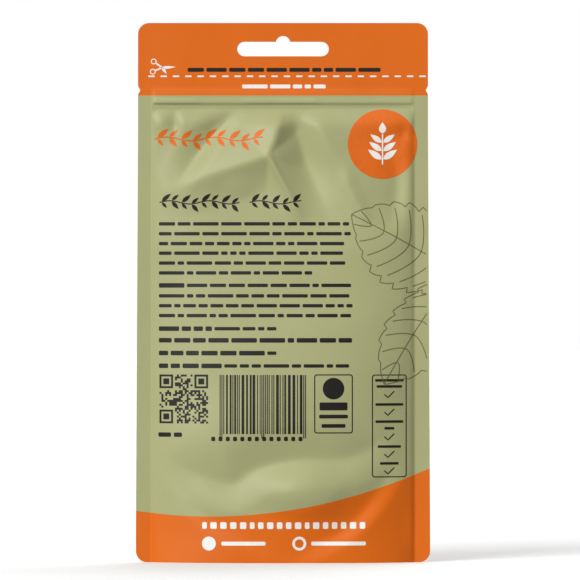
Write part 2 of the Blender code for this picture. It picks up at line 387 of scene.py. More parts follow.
# Folds of the back panel, in groups whose highest fold counts. Each fold has points
# across, up and height, the widths of its left and right sides, and how round its crest is.
BACK_FOLDS = (
    # the three ridges that meet high on the left
    (
        (((-0.9, 156.0, 1.6), (-1.9, 149.0, 2.5), (-5.2, 140.2, 2.8)), 7.0, 17.0, 0.5),
        (((-5.2, 140.2, 2.7), (-14.8, 137.0, 2.4), (-23.8, 134.0, 1.9), (-39.0, 128.4, 0.5)),
         11.0, 15.0, 0.9),
        (((-5.2, 140.2, 2.8), (-1.0, 132.6, 2.3), (3.1, 125.0, 1.4), (6.9, 117.4, 0.1)),
         7.5, 6.5, 0.3),
    ),
    # the fine crest of the third
    ((((-5.4, 140.6, 0.1), (-3.6, 137.4, 0.30), (0.9, 129.0, 0.22), (6.4, 118.4, 0.0)),
      1.5, 1.3, 0.4),),
    # the valley right of them and the facet beyond it
    ((((3.5, 153.3, -0.9), (5.5, 145.6, -1.5), (8.6, 136.0, -1.5), (14.8, 121.5, -0.4)),
      8.5, 7.5, 0.9),),
    ((((8.6, 155.3, 0.5), (14.5, 145.7, 0.9), (19.7, 137.5, 0.7), (24.5, 129.0, 0.2)),
      7.0, 7.0, 1.5),),
    # the shallow dents at the upper left
    ((((-18.0, 155.3, -1.0), (-23.0, 149.2, -1.6), (-29.8, 140.2, -1.5), (-35.6, 131.6, -0.4)),
      4.5, 6.5, 0.9),),
    ((((-37.6, 157.0, -0.9), (-37.6, 151.1, -1.1), (-37.4, 147.0, -0.2)), 2.6, 4.2, 0.7),),
    # the streaks and the dent on the right, beside the drawn leaf
    ((((22.0, 137.0, 0.1), (22.4, 130.2, 0.5), (27.0, 121.5, 0.6), (30.0, 116.0, 0.0)),
      3.5, 4.0, 0.7),),
    ((((36.4, 144.2, -0.8), (38.8, 133.9, -1.5), (38.2, 123.1, -1.2), (35.8, 114.0, -0.2)),
      6.0, 13.0, 1.2),),
    ((((41.6, 152.0, -0.3), (42.0, 148.0, -0.7), (41.4, 145.3, -0.2)), 2.5, 5.0, 0.8),),
    # the long valley across the belly, under the stripes
    ((((-39.0, 36.0, -0.3), (-28.0, 30.0, -1.2), (-17.5, 27.5, -1.6), (-9.0, 32.5, -1.7),
       (8.0, 35.4, -1.6), (24.0, 36.6, -1.6), (34.5, 43.0, -0.5)), 12.0, 9.0, 1.4),),
    # the gusset's weld showing at the lower right, and faintly at the lower left
    ((((39.0, 36.0, -0.3), (33.5, 26.6, -1.0), (26.5, 17.5, -1.3), (18.5, 10.6, -1.1),
       (6.5, 4.2, -0.4)), 4.6, 10.0, 1.8),),
    ((((-38.0, 31.0, -0.1), (-30.0, 20.0, -0.35), (-20.0, 11.8, -0.4), (-8.0, 5.5, -0.2)),
      6.0, 4.0, 1.6),),
)
BACK_LOBES = (
    ((-15.0, 129.0), (7.0, 5.5), 0.3, 0),
    ((6.0, 24.5), (19.0, 12.0), 1.9, -4),
)

# The far side, which has its own calmer folds
FRONT_FOLDS = (
    (
        (((-30.0, 152.0, 0.4), (-20.0, 138.0, 1.5), (-14.0, 120.0, 0.9), (-12.0, 104.0, 0.1)),
         8.0, 9.0, 0.9),
        (((-20.0, 138.0, 1.5), (0.0, 142.0, 0.9), (16.0, 150.0, 0.3)), 7.0, 9.0, 1.0),
    ),
    ((((28.0, 150.0, -0.6), (20.0, 136.0, -1.3), (22.0, 118.0, -0.8), (30.0, 104.0, -0.1)),
      8.0, 7.0, 1.0),),
    ((((-36.0, 44.0, -0.2), (-15.0, 41.0, -0.5), (12.0, 43.0, -0.6), (36.0, 52.0, -0.2)),
      9.0, 10.0, 1.5),),
    ((((38.0, 31.0, -0.3), (29.0, 19.0, -1.5), (17.0, 10.0, -1.6), (4.0, 4.5, -0.6)),
      3.0, 9.0, 0.8),),
    ((((-38.0, 31.0, -0.3), (-29.0, 19.0, -1.3), (-17.0, 10.0, -1.4), (-4.0, 4.5, -0.6)),
      9.0, 3.0, 0.8),),
)
FRONT_LOBES = (
    ((0.0, 22.0), (22.0, 12.0), 0.5, 0),
    ((-5.0, 70.0), (26.0, 22.0), 0.6, 15),
)

# Folds fade out towards the side seals and the zip; a low border runs along both
RIPPLE_SEED, RIPPLE_HEIGHT, RIPPLE_LENGTH = {BACK: 3, FRONT: 8}, 0.16, 34.0
FADE_WIDTH, FADE_EDGE, FADE_Z = 5.0, 0.3, (149.5, 157.5)
BORDER_HEIGHT, BORDER_WIDTH, BORDER_EDGE, BORDER_Z = 0.24, 1.6, 0.2, (151.0, 156.5)

# The zip's line across the back: height above the foot and how proud the film stands
ZIP_RELIEF = ((165.0, 0.0), (163.9, 0.0), (162.7, 0.14), (160.3, 0.16), (159.3, 0.44),
              (158.5, 0.52), (157.3, -0.62), (156.8, -0.58), (155.4, -0.12), (152.5, 0.0))
# How deep that crease is along its length
ZIP_CREASE = ((-44.0, 1.0), (-31.0, 1.0), (-27.5, 0.65), (-14.0, 0.65), (-10.5, 1.0),
              (10.5, 1.05), (14.0, 0.65), (44.0, 0.55))


def zip_relief_heights(x, z):
    """Return the lip and crease that the zip presses into the back film."""
    table = np.array(ZIP_RELIEF[::-1])
    lip = np.interp(z, table[:, 0], table[:, 1])
    along = np.array(ZIP_CREASE)
    softer = np.interp(x, along[:, 0], along[:, 1])
    end = 1.0 - smooth_step(44.0, 45.2, np.abs(x))
    return lip * softer * end


class FilmShape:
    """The inner and outer faces of one panel, as heights on an uneven grid."""

    def __init__(self, side, film):
        self.side = side
        self.thickness = film.thickness
        reach_x, reach_z = FOOT_HALF_WIDTH + MM, HEIGHT + MM
        self.columns = packed_line(-reach_x, reach_x, film.spacing, (
            (-SEAL_X - 1.5 * MM, -SEAL_X + 2.5 * MM), (SEAL_X - 2.5 * MM, SEAL_X + 1.5 * MM)))
        self.rows = packed_line(-MM, reach_z, film.spacing, ((155.8 * MM, 164.3 * MM),))
        x, z = np.meshgrid(self.columns, self.rows)
        self.gap = self.bag_gap(x, z) + self.fold_gap(x, z, film.fold_scale)
        self.gap = np.maximum(self.gap, WELD_GAP)
        self.middle = self.weld_plane(x, z)

    def weld_plane(self, x, z):
        """Return where the two films meet: the header leans back a little and waves."""
        lean = -HEADER_LEAN * smooth_step(HEADER_LEAN_FROM_Z, HEADER_SEAL_Z, z)
        wave = 0.10 * MM * np.sin(x / (17 * MM) + 0.6) * smooth_step(140 * MM, HEIGHT, z)
        edge = 0.12 * MM * np.sin(z / (23 * MM)) * smooth_step(36 * MM, 50 * MM, np.abs(x))
        return lean + wave + edge * smooth_step(0.0, 20 * MM, z)

    def bag_gap(self, x, z):
        """Return the smooth filled shape: distance of the inner face from the weld."""
        zip_gap = ZIP_GAP[self.side]
        belly = -PANEL_LOW.y - FOLD_ROOM[self.side]
        drop = np.clip((BELLY_Z - z) / BELLY_Z, 0.0, 1.0)
        rise = np.clip((z - BELLY_Z) / (ZIP_LOW_Z - BELLY_Z), 0.0, 1.0)
        fall = np.cos(rise * math.pi / 2) ** BELLY_FALL_POWER
        full = belly * (1.0 - (1.0 - FOOT_DEPTH_SHARE) * drop**2)
        depth = zip_gap + (full - zip_gap) * fall
        depth = depth + AIR * smooth_step(*AIR_RISE_Z, z) * (1.0 - smooth_step(*AIR_FALL_Z, z))
        closing = zip_gap * (1.0 - smooth_step(ZIP_HIGH_Z, HEADER_SEAL_Z, z))
        depth = np.where(z > ZIP_HIGH_Z, closing, depth)
        power = LENS_POWER
        for extra, start, end in LENS_POWER_STEPS:
            power = power + extra * smooth_step(start, end, z)
        across = np.clip(np.abs(x) / SEAL_X, 0.0, 1.0)
        return WELD_GAP + depth * (1.0 - across**power)

    def fold_gap(self, x, z, scale):
        """Return what the folds add to the smooth shape."""
        x, z = x / MM, z / MM
        back = self.side == BACK
        folds, lobes = (BACK_FOLDS, BACK_LOBES) if back else (FRONT_FOLDS, FRONT_LOBES)
        added = ripple_heights(x, z, RIPPLE_SEED[self.side], RIPPLE_HEIGHT, RIPPLE_LENGTH)
        for group in folds:
            heights = [fold_heights(x, z, *fold) for fold in group]
            added += np.maximum.reduce(heights) if len(heights) > 1 else heights[0]
        for centre, radii, height, turn in lobes:
            added += lobe_heights(x, z, centre, radii, height, turn)
        seal = SEAL_X / MM
        fade = 1.0 - smooth_step(seal - FADE_WIDTH, seal - FADE_EDGE, np.abs(x))
        fade *= 1.0 - smooth_step(*FADE_Z, z)
        border = 1.0 - smooth_step(seal - BORDER_WIDTH, seal - BORDER_EDGE, np.abs(x))
        border *= BORDER_HEIGHT * (1.0 - smooth_step(*BORDER_Z, z))
        total = added * fade * scale + border
        if back:
            total = total + zip_relief_heights(x, z)
        return total * MM

    def read(self, heights, x, z):
        """Return grid heights at any points, by straight interpolation."""
        x, z = np.asarray(x), np.asarray(z)
        i = np.clip(np.searchsorted(self.columns, x) - 1, 0, len(self.columns) - 2)
        j = np.clip(np.searchsorted(self.rows, z) - 1, 0, len(self.rows) - 2)
        u = (x - self.columns[i]) / (self.columns[i + 1] - self.columns[i])
        v = (z - self.rows[j]) / (self.rows[j + 1] - self.rows[j])
        low = heights[j, i] * (1 - u) + heights[j, i + 1] * u
        high = heights[j + 1, i] * (1 - u) + heights[j + 1, i + 1] * u
        return low * (1 - v) + high * v

    def inner(self, x, z):
        """Return the y of the face towards the leaves."""
        return self.read(self.middle + self.side * self.gap, x, z)

    def outer(self, x, z, lift=0.0):
        """Return the y of the printed face, or of a face lifted off it."""
        return self.inner(x, z) + self.side * (self.thickness + lift)


def packed_line(low, high, spacing, fine_zones, fine=0.26 * MM):
    """Return grid lines from low to high, packed closer in the fine zones."""
    edges = [low] + [edge for zone in fine_zones for edge in zone] + [high]
    lines = []
    for index, (start, end) in enumerate(zip(edges, edges[1:])):
        pitch = fine if index % 2 else spacing
        count = max(1, round((end - start) / pitch))
        lines += [start + (end - start) * step / count for step in range(count)]
    return np.array(lines + [high])


# ---------------------------------------------------------------- meshes


def link(name, mesh):
    """Put a mesh in the scene as an object on the origin."""
    piece = bpy.data.objects.new(name, mesh)
    bpy.context.scene.collection.objects.link(piece)
    return piece


def slab_mesh(name, flat, polygons, outer, inner, side):
    """Close flat polygons, anticlockwise across and up, into a thin solid."""
    count = len(flat)
    points = np.zeros((2 * count, 3))
    points[:, 0] = np.tile(flat[:, 0], 2)
    points[:, 2] = np.tile(flat[:, 1], 2)
    points[:count, 1], points[count:, 1] = outer, inner
    top = [tuple(int(i) for i in polygon) for polygon in polygons]
    under = [tuple(i + count for i in reversed(polygon)) for polygon in top]
    directed = {edge for face in top for edge in zip(face, face[1:] + face[:1])}
    walls = [(a, a + count, b + count, b) for a, b in sorted(directed) if (b, a) not in directed]
    faces = top + under + walls
    if side == FRONT:
        faces = [tuple(reversed(face)) for face in faces]
    mesh = bpy.data.meshes.new(name)
    mesh.from_pydata(points.tolist(), [], faces)
    used = np.zeros(2 * count, bool)
    used[[i for face in faces for i in face]] = True
    if not used.all():
        drop_loose(mesh)
    mesh.validate()
    mesh.shade_smooth()
    mesh.set_sharp_from_angle(angle=math.radians(50))
    return mesh


def drop_loose(mesh):
    """Remove points that no face uses."""
    shape = bmesh.new()
    shape.from_mesh(mesh)
    loose = [v for v in shape.verts if not v.link_faces]
    bmesh.ops.delete(shape, geom=loose, context="VERTS")
    shape.to_mesh(mesh)
    shape.free()


def finish_piece(piece, material, replaced=()):
    """Give a finished piece its material and body, and hide the frame's nodes that it stands for."""
    piece.data.materials.clear()
    piece.data.materials.append(material)
    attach(piece, "root")
    if replaced:
        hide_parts(*replaced)
    return piece


# ---------------------------------------------------------------- materials

# The satin film's and ink's specular level
FILM_GLOSS = 0.28


class Nodes:
    """A short way to add shader nodes and join them."""

    def __init__(self, name):
        self.material = bpy.data.materials.new(name)
        self.material.use_nodes = True
        self.tree = self.material.node_tree
        self.shader = self.tree.nodes["Principled BSDF"]
        self.place = self.add("ShaderNodeTexCoord").outputs["Object"]

    def add(self, kind, **values):
        """Add a shader node and set its values."""
        node = self.tree.nodes.new(kind)
        for key, value in values.items():
            setattr(node, key, value)
        return node

    def join(self, source, target):
        """Link one socket to another."""
        self.tree.links.new(source, target)

    def math(self, operation, first, second=0.0):
        """Return the result of a sum on two numbers or sockets."""
        node = self.add("ShaderNodeMath", operation=operation)
        for socket, value in zip(node.inputs, (first, second)):
            if isinstance(value, (int, float)):
                socket.default_value = value
            else:
                self.join(value, socket)
        return node.outputs[0]

    def noise(self, scale, detail=2.0, roughness=0.5, stretch=None):
        """Return soft noise in object space, stretched if asked."""
        node = self.add("ShaderNodeTexNoise")
        node.inputs["Scale"].default_value = scale
        node.inputs["Detail"].default_value = detail
        node.inputs["Roughness"].default_value = roughness
        source = self.place
        if stretch:
            mapping = self.add("ShaderNodeMapping")
            mapping.inputs["Scale"].default_value = stretch
            self.join(self.place, mapping.inputs["Vector"])
            source = mapping.outputs["Vector"]
        self.join(source, node.inputs["Vector"])
        return node.outputs["Fac"]

    def spread(self, value, low, high, source_low=0.3, source_high=0.7):
        """Stretch the middle of a noise to run from low to high."""
        node = self.add("ShaderNodeMapRange")
        for name, number in (("From Min", source_low), ("From Max", source_high),
                             ("To Min", low), ("To Max", high)):
            node.inputs[name].default_value = number
        self.join(value, node.inputs["Value"])
        return node.outputs["Result"]

    def mix(self, factor, first, second, blend="MIX"):
        """Return two colours blended."""
        node = self.add("ShaderNodeMix", data_type="RGBA", blend_type=blend)
        for name, value in (("Factor_Float", factor), ("A_Color", first), ("B_Color", second)):
            socket = next(s for s in node.inputs if s.identifier == name)
            if isinstance(value, (int, float)):
                socket.default_value = value
            elif isinstance(value, tuple):
                socket.default_value = (*value, 1.0)
            else:
                self.join(value, socket)
        return next(s for s in node.outputs if s.identifier == "Result_Color")

    def shade(self, colour, light_change):
        """Make a colour lighter and darker by a value round 1."""
        grey = self.add("ShaderNodeCombineColor")
        for socket in grey.inputs[:3]:
            self.join(light_change, socket)
        return self.mix(1.0, colour, grey.outputs[0], "MULTIPLY")

    def bump(self, height, distance, strength=1.0, under=None):
        """Return a normal bent by a height, over another normal if one is given."""
        node = self.add("ShaderNodeBump")
        node.inputs["Distance"].default_value = distance
        node.inputs["Strength"].default_value = strength
        self.join(height, node.inputs["Height"])
        if under is not None:
            self.join(under, node.inputs["Normal"])
        return node.outputs["Normal"]

    def finish(self, colour, roughness, normal, gloss=0.5):
        """Wire the shader and return the finished material."""
        self.join(colour, self.shader.inputs["Base Color"])
        self.join(roughness, self.shader.inputs["Roughness"])
        self.join(normal, self.shader.inputs["Normal"])
        self.shader.inputs["Specular IOR Level"].default_value = gloss
        return self.material


def film_material(name, film):
    """Satin laminate: green body, orange header and an orange foot band that curves up."""
    n = Nodes(name)
    split = n.add("ShaderNodeSeparateXYZ")
    n.join(n.place, split.inputs[0])
    across, up = split.outputs["X"], split.outputs["Z"]
    header = n.math("GREATER_THAN", up, HEADER_PRINT_Z * MM)
    from_turn = n.math("SUBTRACT", across, BAND_TURN_X * MM)
    rise = n.math("MULTIPLY", n.math("MULTIPLY", from_turn, from_turn), BAND_RISE / MM)
    band_edge = n.math("ADD", rise, BAND_LOW_Z * MM)
    band = n.math("LESS_THAN", up, band_edge)
    print_zone = n.math("MAXIMUM", header, band)
    colour = n.mix(print_zone, tuple(film.green), tuple(film.orange))
    clouds = n.spread(n.noise(28.0, 3.0), 0.965, 1.035)
    grain = n.spread(n.noise(2600.0, 2.0), 0.985, 1.015)
    colour = n.shade(colour, n.math("MULTIPLY", clouds, grain))
    rough = n.spread(n.noise(75.0, 4.0), film.roughness - 0.05, film.roughness + 0.06)
    slack = n.bump(n.noise(55.0, 2.0, stretch=(1.0, 1.0, 0.6)), 0.35 * MM)
    skin = n.bump(n.noise(1500.0, 3.0), 0.012 * MM, 0.6, slack)
    return n.finish(colour, rough, skin, FILM_GLOSS)


def ink_material(name, colour, roughness=0.5):
    """Printed ink with slight mottling and the film's fine skin."""
    n = Nodes(name)
    mottle = n.spread(n.noise(900.0, 4.0), 0.96, 1.04)
    shaded = n.shade(tuple(colour), mottle)
    rough = n.spread(n.noise(420.0, 3.0), roughness - 0.06, roughness + 0.06)
    return n.finish(shaded, rough, n.bump(n.noise(1500.0, 3.0), 0.01 * MM, 0.6), FILM_GLOSS)


def zip_material(name):
    """Milky natural polyethylene with fine drawn lines along the strip."""
    n = Nodes(name)
    drawn = n.noise(700.0, 3.0, stretch=(0.02, 1.0, 1.0))
    colour = n.mix(n.spread(drawn, 0.0, 1.0), (0.74, 0.76, 0.73), (0.84, 0.85, 0.83))
    rough = n.spread(n.noise(180.0, 3.0), 0.26, 0.38)
    n.shader.inputs["Subsurface Weight"].default_value = 0.15
    n.shader.inputs["Subsurface Scale"].default_value = 0.5 * MM
    return n.finish(colour, rough, n.bump(drawn, 0.02 * MM))


def leaf_material(name, green):
    """Dried leaf, from grey-green to brown, with a rough crumbled surface."""
    n = Nodes(name)
    brown = tuple(c * f for c, f in zip(green, (1.5, 0.95, 0.9)))
    patches = n.spread(n.noise(160.0, 4.0), 0.0, 1.0)
    colour = n.mix(patches, tuple(green), brown)
    colour = n.shade(colour, n.spread(n.noise(900.0, 4.0), 0.75, 1.25))
    rough = n.spread(n.noise(500.0, 3.0), 0.75, 0.95)
    return n.finish(colour, rough, n.bump(n.noise(1300.0, 5.0), 0.15 * MM))


def floor_material(name):
    """Plain pale matt floor."""
    n = Nodes(name)
    colour = n.shade((0.93, 0.93, 0.93), n.spread(n.noise(3.0, 2.0), 0.99, 1.0))
    rough = n.spread(n.noise(20.0, 2.0), 0.85, 0.95)
    return n.finish(colour, rough, n.bump(n.noise(300.0, 2.0), 0.02 * MM, 0.2), 0.1)


# ---------------------------------------------------------------- print shapes


class InkSheet:
    """Flat ink shapes, in millimetres across and up, later laid on a film as one piece."""

    def __init__(self):
        self.flat = []
        self.polygons = []

    def add(self, flat, polygons):
        first = len(self.flat)
        self.flat += [tuple(p) for p in flat]
        self.polygons += [tuple(int(i) + first for i in polygon) for polygon in polygons]

    def area(self, *loops, spacing=0.5):
        """Add the area inside a loop and outside its holes."""
        self.add(*fill_loops([list(loop) for loop in loops], spacing))

    def disc(self, centre, radius, steps=40, hole=0.0):
        """Add a disc, or a ring if hole is given."""
        loops = [arc(centre, radius, 0, 360, steps)[:-1]]
        if hole:
            loops.append(arc(centre, hole, 0, 360, steps)[:-1])
        self.area(*loops)

    def line(self, path, width, closed=False):
        """Add a line of the given width along a path."""
        points = spaced([np.array(p, float) for p in path], 0.6)
        ring = points[-1:] + points + points[:1] if closed else points[:1] + points + points[-1:]
        flat = []
        for before, here, after in zip(ring, ring[1:], ring[2:]):
            along = after - before
            across = np.array((-along[1], along[0])) / max(np.hypot(*along), 1e-9) * width / 2
            flat += [here + across, here - across]
        last = len(points)
        pairs = [(i, (i + 1) % last) for i in range(last if closed else last - 1)]
        self.add(flat, [(2 * a, 2 * a + 1, 2 * b + 1, 2 * b) for a, b in pairs])

    def build(self, name, shape, low, high, material, slot):
        """Lay the shapes on a film, between two heights over it, as one thin closed piece."""
        flat = np.array(self.flat) * MM
        outer = shape.outer(flat[:, 0], flat[:, 1], high)
        inner = shape.outer(flat[:, 0], flat[:, 1], low)
        mesh = slab_mesh(name, flat, self.polygons, outer, inner, shape.side)
        return finish_piece(link(name, mesh), material)


def round_box(low, high, radius):
    """Return the loop of a box with round corners."""
    (x1, z1), (x2, z2) = low, high
    loop = arc((x2 - radius, z1 + radius), radius, -90, 0, 4)
    loop += arc((x2 - radius, z2 - radius), radius, 0, 90, 4)
    loop += arc((x1 + radius, z2 - radius), radius, 90, 180, 4)
    loop += arc((x1 + radius, z1 + radius), radius, 180, 270, 4)
    return loop


def framed_box(sheet, low, high, wall):
    """Add the outline of a box with round corners and a wall of the given width."""
    inner_low, inner_high = (low[0] + wall, low[1] + wall), (high[0] - wall, high[1] - wall)
    sheet.area(round_box(low, high, 0.9), round_box(inner_low, inner_high, 0.6))


def leaf_loop(root, tip, width, belly=0.42):
    """Return the loop of a plain pointed leaf from root to tip."""
    root, tip = np.array(root, float), np.array(tip, float)
    along = tip - root
    across = np.array((-along[1], along[0])) / np.hypot(*along)
    steps = 7
    sides = []
    for side in (1, -1):
        edge = []
        for step in range(1, steps):
            share = step / steps
            bulge = math.sin(math.pi * share ** (math.log(0.5) / math.log(belly)))
            edge.append(root + along * share + across * side * bulge * width / 2)
        sides.append(edge)
    return [tuple(root)] + [tuple(p) for p in sides[1]] + [tuple(tip)] + [
        tuple(p) for p in reversed(sides[0])]


def sprig(sheet, foot, height, pairs, stem_width=0.35):
    """Add an upright sprig: a stem with paired leaves and one leaf on top."""
    x, z = foot
    sheet.line([(x, z), (x, z + height * 0.72)], stem_width)
    for index in range(pairs):
        share = (index + 0.6) / (pairs + 0.6)
        start = z + height * 0.72 * share
        length = height * (0.42 - 0.10 * index / pairs)
        for side in (-1, 1):
            tip = (x + side * length * 0.82, start + length * 0.55)
            sheet.area(leaf_loop((x + side * stem_width * 0.6, start), tip, length * 0.36))
    sheet.area(leaf_loop((x, z + height * 0.73), (x, z + height), height * 0.17))


def garland(sheet, start, end, height, count, slant=0.0):
    """Add a row of leaves along a gently waving stem, as an ornament in place of words."""
    stem = []
    steps = count * 4
    for step in range(steps + 1):
        share = step / steps
        x = start[0] + (end[0] - start[0]) * share
        stem.append((x, start[1] + 0.10 * height * math.sin(share * math.pi * count / 2)))
    sheet.line(stem, height * 0.06)
    for index in range(count):
        x, z = stem[index * 4 + 1]
        for side in (1, -1):
            reach = height * (0.50 if (index + (side > 0)) % 2 else 0.38)
            root = (x, z + side * height * 0.045)
            tip = (x + reach * (0.95 + slant * side), z + side * reach)
            sheet.area(leaf_loop(root, tip, reach * 0.50))


def words(chance, start_x, end_x, z, height, bold_until=None, bold_height=None, gap=1.0):
    """Return placeholder bars, (x, z, width, height), that fill a line with word lengths."""
    bars = []
    x = start_x
    while x < end_x - 1.2:
        width = min(chance.choice((2.2, 3.2, 4.4, 5.6, 7.0, 8.8)), end_x - x)
        if end_x - x - width < 2.2:
            width = end_x - x
        bold = bold_until is not None and x < bold_until
        bars.append((x + width / 2, z, width, bold_height if bold else height))
        x += width + gap
    return bars


def bars_tree():
    """Return the node tree that turns points with a width and height into round-cornered bars."""
    if "Printed bars" in bpy.data.node_groups:
        return bpy.data.node_groups["Printed bars"]
    tree = bpy.data.node_groups.new("Printed bars", "GeometryNodeTree")
    face = tree.interface
    face.new_socket("Points", in_out="INPUT", socket_type="NodeSocketGeometry")
    face.new_socket("Corner radius", in_out="INPUT", socket_type="NodeSocketFloat")
    face.new_socket("Corner points", in_out="INPUT", socket_type="NodeSocketInt")
    face.new_socket("Ink", in_out="INPUT", socket_type="NodeSocketMaterial")
    face.new_socket("Bars", in_out="OUTPUT", socket_type="NodeSocketGeometry")

    def add(kind, **values):
        node = tree.nodes.new(kind)
        for key, value in values.items():
            setattr(node, key, value)
        return node

    start, end = add("NodeGroupInput"), add("NodeGroupOutput")
    points = add("GeometryNodeMeshToPoints")
    unit_bar = add("GeometryNodeCurvePrimitiveQuadrilateral", mode="RECTANGLE")
    unit_bar.inputs["Width"].default_value = 1.0
    unit_bar.inputs["Height"].default_value = 1.0
    width = add("GeometryNodeInputNamedAttribute", data_type="FLOAT")
    width.inputs["Name"].default_value = "bar_width"
    height = add("GeometryNodeInputNamedAttribute", data_type="FLOAT")
    height.inputs["Name"].default_value = "bar_height"
    scale = add("ShaderNodeCombineXYZ")
    scale.inputs["Z"].default_value = 1.0
    place = add("GeometryNodeInstanceOnPoints")
    apart = add("GeometryNodeRealizeInstances")
    corners = add("GeometryNodeFilletCurve", mode="POLY")
    corners.inputs["Limit Radius"].default_value = True
    filled = add("GeometryNodeFillCurve", mode="NGONS")
    ink = add("GeometryNodeSetMaterial")
    join = tree.links.new
    join(start.outputs["Points"], points.inputs["Mesh"])
    join(points.outputs[0], place.inputs["Points"])
    join(unit_bar.outputs["Curve"], place.inputs["Instance"])
    join(width.outputs["Attribute"], scale.inputs["X"])
    join(height.outputs["Attribute"], scale.inputs["Y"])
    join(scale.outputs[0], place.inputs["Scale"])
    join(place.outputs[0], apart.inputs[0])
    join(apart.outputs[0], corners.inputs["Curve"])
    join(start.outputs["Corner radius"], corners.inputs["Radius"])
    join(start.outputs["Corner points"], corners.inputs["Count"])
    join(corners.outputs[0], filled.inputs["Curve"])
    join(filled.outputs[0], ink.inputs["Geometry"])
    join(start.outputs["Ink"], ink.inputs["Material"])
    join(ink.outputs[0], end.inputs["Bars"])
    return tree


def run_tree(piece, tree, **inputs):
    """Run a node tree on a piece and return its result as a plain mesh."""
    modifier = piece.modifiers.new(tree.name, "NODES")
    modifier.node_group = tree
    sockets = {s.name: s.identifier for s in tree.interface.items_tree if s.in_out == "INPUT"}
    for name, value in inputs.items():
        modifier[sockets[name.replace("_", " ").capitalize()]] = value
    bpy.context.view_layer.update()
    evaluated = piece.evaluated_get(bpy.context.evaluated_depsgraph_get())
    mesh = bpy.data.meshes.new_from_object(evaluated)
    bpy.data.objects.remove(piece, do_unlink=True)
    return mesh


def stamp_bars(sheet, bars, material, corner=0.25, corner_points=3):
    """Add bars, (x, z, width, height), to an ink sheet through the bars' node tree."""
    mesh = bpy.data.meshes.new("bar_points")
    mesh.from_pydata([(x, z, 0.0) for x, z, _, _ in bars], [], [])
    for name, column in (("bar_width", 2), ("bar_height", 3)):
        layer = mesh.attributes.new(name, "FLOAT", "POINT")
        layer.data.foreach_set("value", [bar[column] for bar in bars])
    made = run_tree(link("bar_points", mesh), bars_tree(), corner_radius=corner,
                    corner_points=corner_points, ink=material)
    for polygon in made.polygons:
        loop = [tuple(made.vertices[i].co[:2]) for i in polygon.vertices]
        sheet.area(loop, spacing=0.75)
    bpy.data.meshes.remove(made)


# ---------------------------------------------------------------- shared state


STATE = {"shapes": {}, "inks": {}}


def film_shape(side):
    """Return the shape of a panel's film, worked out once."""
    if side not in STATE["shapes"]:
        STATE["shapes"][side] = FilmShape(side, bpy.context.scene.pouch_film)
    return STATE["shapes"][side]


def ink(name):
    """Return one of the print's inks, made once."""
    if name not in STATE["inks"]:
        colour = getattr(bpy.context.scene.pouch_print, name)
        STATE["inks"][name] = ink_material(name + "_ink", colour)
    return STATE["inks"][name]


def lay(sheet, name, side, ink_name, over_ink=False):
    """Lay an ink sheet on a panel, or over the ink that is already there."""
    slot = "back_print" if side == BACK else "front_print"
    settings = bpy.context.scene.pouch_print
    low, high = -settings.sink, settings.lift
    if over_ink:
        low, high = settings.lift / 2, settings.lift * 2
    return sheet.build(name, film_shape(side), low, high, ink(ink_name), slot)


def bar_print(name, side, ink_name, bars, corner=0.25):
    """Lay a group of bars on a panel as one piece."""
    sheet = InkSheet()
    stamp_bars(sheet, bars, ink(ink_name), corner)
    return lay(sheet, name, side, ink_name)


# ---------------------------------------------------------------- operators


class POUCH_OT_add_panels(bpy.types.Operator):
    """Add the printed films of the back and front panels"""

    bl_idname = "pouch.add_panels"
    bl_label = "Add film panels"
    bl_options = {"REGISTER", "UNDO"}

    def execute(self, context):
        scene = context.scene
        film = scene.pouch_film
        loops = [pouch_outline(), slot_outline()]
        material = film_material("printed_film", film)
        for side, node, slot in ((BACK, "back_panel", "back_print"),
                                 (FRONT, "front_panel", "front_print")):
            shape = film_shape(side)
            flat, triangles = fill_loops(loops, film.spacing, shape.columns, shape.rows)
            outer = shape.outer(flat[:, 0], flat[:, 1])
            inner = shape.inner(flat[:, 0], flat[:, 1])
            mesh = slab_mesh(node + "_film", flat, triangles, outer, inner, side)
            finish_piece(link(node + "_film", mesh), material, [node])
        return {"FINISHED"}


